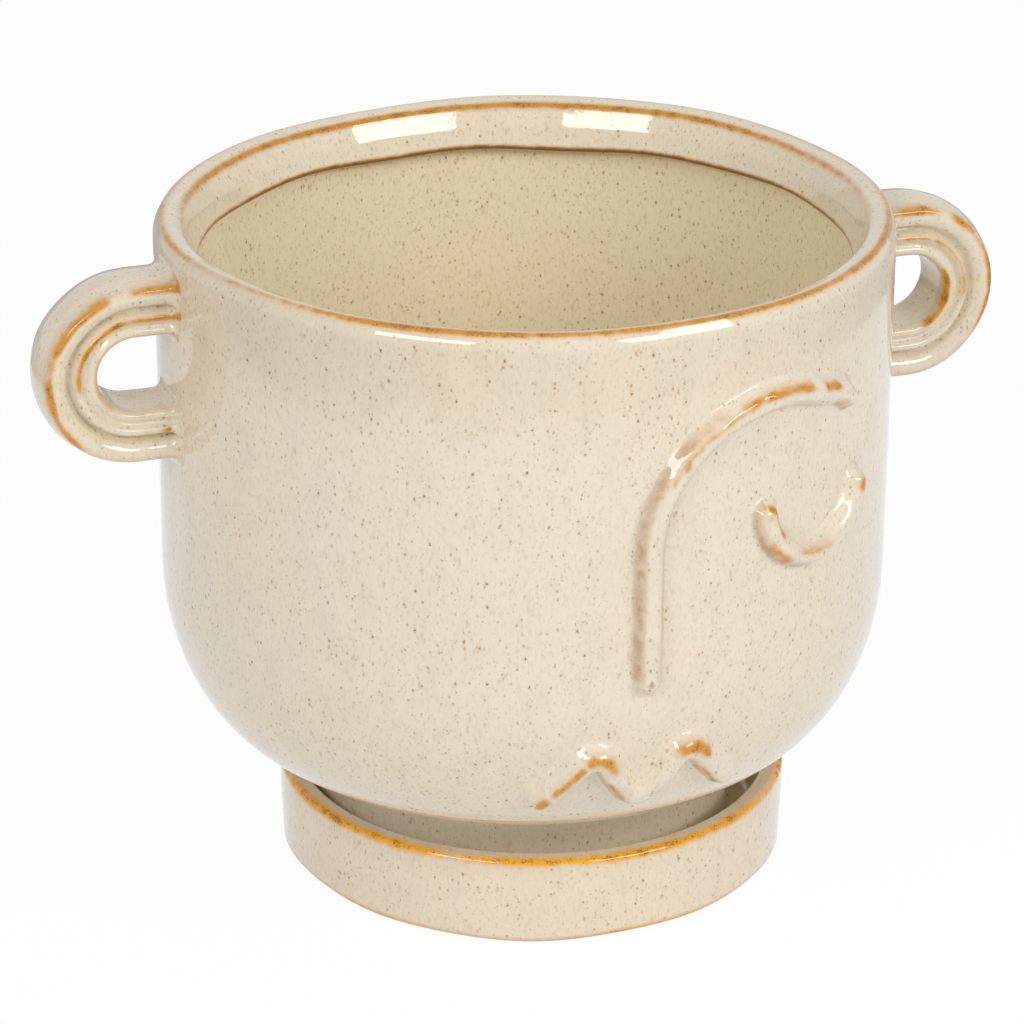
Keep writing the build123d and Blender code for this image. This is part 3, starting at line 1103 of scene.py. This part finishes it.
def glaze_material(name, seed, cream, amber):
    """Glossy speckled glaze with soft dimples, and bare matt clay where the piece stands."""
    glaze = Glaze(name, seed)
    bare = glaze.attribute("bare")
    body, dark = speckled(glaze, clouded_and_painted_light(glaze, cream))
    dimple = glaze.noise(0.30, 2.0) * 0.030 + glaze.grain * 0.003 - dark * 0.006
    bump = {"Strength": 1.0, "Distance": MM, "Height": dimple * (1 - bare)}
    values = {
        "Base Color": glaze.mix(bare, thinned_and_reflected(glaze, body, amber), CLAY),
        "Roughness": 0.03 + glaze.grain * 0.04 + bare * 0.6,
        "Normal": glaze.node("ShaderNodeBump", {}, bump),
        "IOR": GLAZE_IOR,
    }
    show(glaze.tree, "ShaderNodeOutputMaterial", glaze.node("ShaderNodeBsdfPrincipled", {}, values))
    return glaze.material


# Camera

FACE_ANGLE = 18.8
CAMERA_DISTANCE = 918.2
CAMERA_HEIGHT = 475.9
CAMERA_PITCH = 0.3958
CAMERA_ROLL = 0.00874
CAMERA_YAW = -0.00284
FOCAL_PIXELS = 4237.2
SHIFT_PIXELS = -38.75
PICTURE = 1024
SENSOR = 36.0
CLIP_START = 0.05


def place_camera():
    """The camera at the photograph's place: in front, above and to the left of the face."""
    level = np.array((sin(CAMERA_YAW), cos(CAMERA_YAW), 0.0))
    across = np.array((cos(CAMERA_YAW), -sin(CAMERA_YAW), 0.0))
    ahead = level * cos(CAMERA_PITCH) - np.array((0, 0, sin(CAMERA_PITCH)))
    up = np.cross(across, ahead)
    right = cos(CAMERA_ROLL) * across + sin(CAMERA_ROLL) * up
    top = cos(CAMERA_ROLL) * up - sin(CAMERA_ROLL) * across
    turn = Matrix.Rotation(radians(-FACE_ANGLE), 3, "Z")
    right, top, ahead = (turn @ Vector(way) for way in (right, top, ahead))
    matrix = Matrix((right, top, -ahead)).transposed().to_4x4()
    matrix.translation = turn @ Vector((0.0, -CAMERA_DISTANCE, CAMERA_HEIGHT)) * MM
    data = bpy.data.cameras.new("camera")
    data.sensor_width = SENSOR
    data.lens = FOCAL_PIXELS / PICTURE * SENSOR
    data.shift_y = SHIFT_PIXELS / PICTURE
    data.clip_start = CLIP_START
    camera = bpy.data.objects.new("camera", data)
    camera.matrix_world = matrix
    bpy.context.scene.collection.objects.link(camera)
    bpy.context.scene.camera = camera


# Floor, in metres

# Each floor's own white, and how bright the glaze mirrors it
SHEET_RADIUS = 0.43
SHEET_WHITE = 0.9
SHEET_MIRRORED = 1.0
GROUND_RADIUS = 4.0
GROUND_WHITE = 0.8
GROUND_MIRRORED = 0.48
MIRRORED_TINT = (0.93, 0.96, 1, 1)
CAMERA_GLOW = 0.95


def circle(radius):
    """Points of a circle on the floor."""
    return [(radius * cos(radians(a)), radius * sin(radians(a)), 0.0) for a in range(0, 360, 3)]


def lay_floor():
    """A white sheet under the planter and a wide ground round it, both white to the camera but for a soft
    shadow. The glaze mirrors the sheet and, past its edge, the darker ground."""
    sheet = circle(SHEET_RADIUS)
    count = len(sheet)
    ring = [(k, count + k, count + (k + 1) % count, (k + 1) % count) for k in range(count)]
    white_sheet = floor_material("white_sheet", SHEET_WHITE, SHEET_MIRRORED)
    add_stage("sheet", sheet, [tuple(range(count))], white_sheet)
    ground = floor_material("ground", GROUND_WHITE, GROUND_MIRRORED)
    add_stage("ground", sheet + circle(GROUND_RADIUS), ring, ground)


def add_stage(name, points, faces, material):
    """A piece of the floor, which isn't part of the planter."""
    mesh = bpy.data.meshes.new(name)
    mesh.from_pydata(points, [], faces)
    mesh.materials.append(material)
    floor = bpy.data.objects.new(name, mesh)
    bpy.context.scene.collection.objects.link(floor)


def floor_material(name, white, mirrored):
    """Matt white that keeps a shadow, with a glow for the camera and another for what the glaze mirrors."""
    material, tree = empty_material(name)
    paper = add_node(tree, "ShaderNodeBsdfDiffuse", {}, {"Color": (white, white, white, 1)})
    glow = add_node(tree, "ShaderNodeEmission", {}, {"Color": (1, 1, 1, 1), "Strength": 1.0})
    cool = add_node(tree, "ShaderNodeEmission", {}, {"Color": MIRRORED_TINT, "Strength": mirrored})
    plain = add_node(tree, "ShaderNodeMixShader", {}, [ray(tree, "Is Glossy Ray"), paper, cool])
    seen = ray(tree, "Is Camera Ray") * CAMERA_GLOW
    both = add_node(tree, "ShaderNodeMixShader", {}, [seen, plain, glow])
    show(tree, "ShaderNodeOutputMaterial", both)
    return material


# Light, in metres

# Each lamp as azimuth, elevation, angular width and height, and share of light
RIGHT_SOFTBOX = (47, 31, 33, 13, 0.32)
LEFT_SOFTBOX = (-31, 31, 28, 10, 0.20)
FRONT_FILL = (4, 34, 60, 40, 0.11)
LAMP_DISTANCE = 1.2
LAMP_TARGET = (0.0, 0.0, 0.1)
WORLD_LIGHT = 0.52
WORLD_GLOSS = 0.7


def light_world():
    """Even pale light from all round, with a white backdrop for the camera and for reflections."""
    world = bpy.data.worlds.new("studio")
    world.use_nodes = True
    bpy.context.scene.world = world
    tree = world.node_tree
    tree.nodes.clear()
    gloss = ray(tree, "Is Glossy Ray") * WORLD_GLOSS
    seen = ray(tree, "Is Camera Ray").math("MAXIMUM", gloss)
    seen = seen.math("MAXIMUM", ray(tree, "Is Transmission Ray"))
    bright = WORLD_LIGHT + seen * (1 - WORLD_LIGHT)
    sky = add_node(tree, "ShaderNodeBackground", {}, {"Color": (1, 1, 1, 1), "Strength": bright})
    show(tree, "ShaderNodeOutputWorld", sky)


def softbox(name, azimuth, elevation, width, height, share):
    """A rectangular lamp that looks at the pot. Azimuth and elevation are seen from the pot, azimuth 0 being
    the camera's side and 90 its right. Width and height are angles too, and share is the light it gives."""
    reach = LAMP_DISTANCE
    turn = Matrix.Rotation(radians(azimuth - FACE_ANGLE), 3, "Z")
    level = turn @ Vector((0, -cos(radians(elevation)), 0))
    place = Vector(LAMP_TARGET) + reach * Vector((level.x, level.y, sin(radians(elevation))))
    data = bpy.data.lights.new(name, "AREA")
    data.shape = "RECTANGLE"
    data.size = 2 * reach * tan(radians(width / 2))
    data.size_y = 2 * reach * tan(radians(height / 2))
    data.energy = share * pi * pi * reach * reach
    lamp = bpy.data.objects.new(name, data)
    lamp.location = place
    lamp.rotation_euler = (Vector(LAMP_TARGET) - place).to_track_quat("-Z", "Y").to_euler()
    bpy.context.scene.collection.objects.link(lamp)
    return lamp


def light_scene():
    """Two softboxes beside the camera that show as highlights, and a wide fill that shows in no gloss."""
    light_world()
    softbox("right_softbox", *RIGHT_SOFTBOX)
    softbox("left_softbox", *LEFT_SOFTBOX)
    fill = softbox("front_fill", *FRONT_FILL)
    fill.visible_glossy = False


def main():
    tree = turning_tree()
    glazes = {
        "pot_glaze": glaze_material("pot_glaze", 1, CREAM, AMBER),
        "saucer_glaze": glaze_material("saucer_glaze", 2, CREAM_PEACH, GOLDEN),
        "handle_glaze": glaze_material("handle_glaze", 3, CREAM, AMBER),
        "relief_glaze": glaze_material("relief_glaze", 1, CREAM, AMBER),
    }
    pieces = [
        ("pot_body", "pot", "pot_glaze", build_pot(tree, glazes["pot_glaze"])),
        ("saucer", "saucer", "saucer_glaze", build_saucer(tree, glazes["saucer_glaze"])),
        ("nose_brow_relief", "pot", "relief_glaze", build_nose_brow()),
        ("closed_eye_relief", "pot", "relief_glaze", build_closed_eye()),
        ("lips_relief", "pot", "relief_glaze", build_lips()),
    ]
    for node, side, lean, lines in (
        ("left_ear_handle", -1, left_lean, LEFT_LINES),
        ("right_ear_handle", 1, right_lean, RIGHT_LINES),
    ):
        pieces.append((node, "pot", "handle_glaze", build_handle(node, side, lean, lines)))
    for node, body, slot, piece in pieces:
        # The turned pieces have their glaze already
        if not piece.data.materials:
            piece.data.materials.append(glazes[slot])
        piece.name = node + "_glazed"
        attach(piece, body)
        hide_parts(node)
    lay_floor()
    light_scene()
    place_camera()


bpy.context.scene.view_settings.view_transform = "Standard"
main()
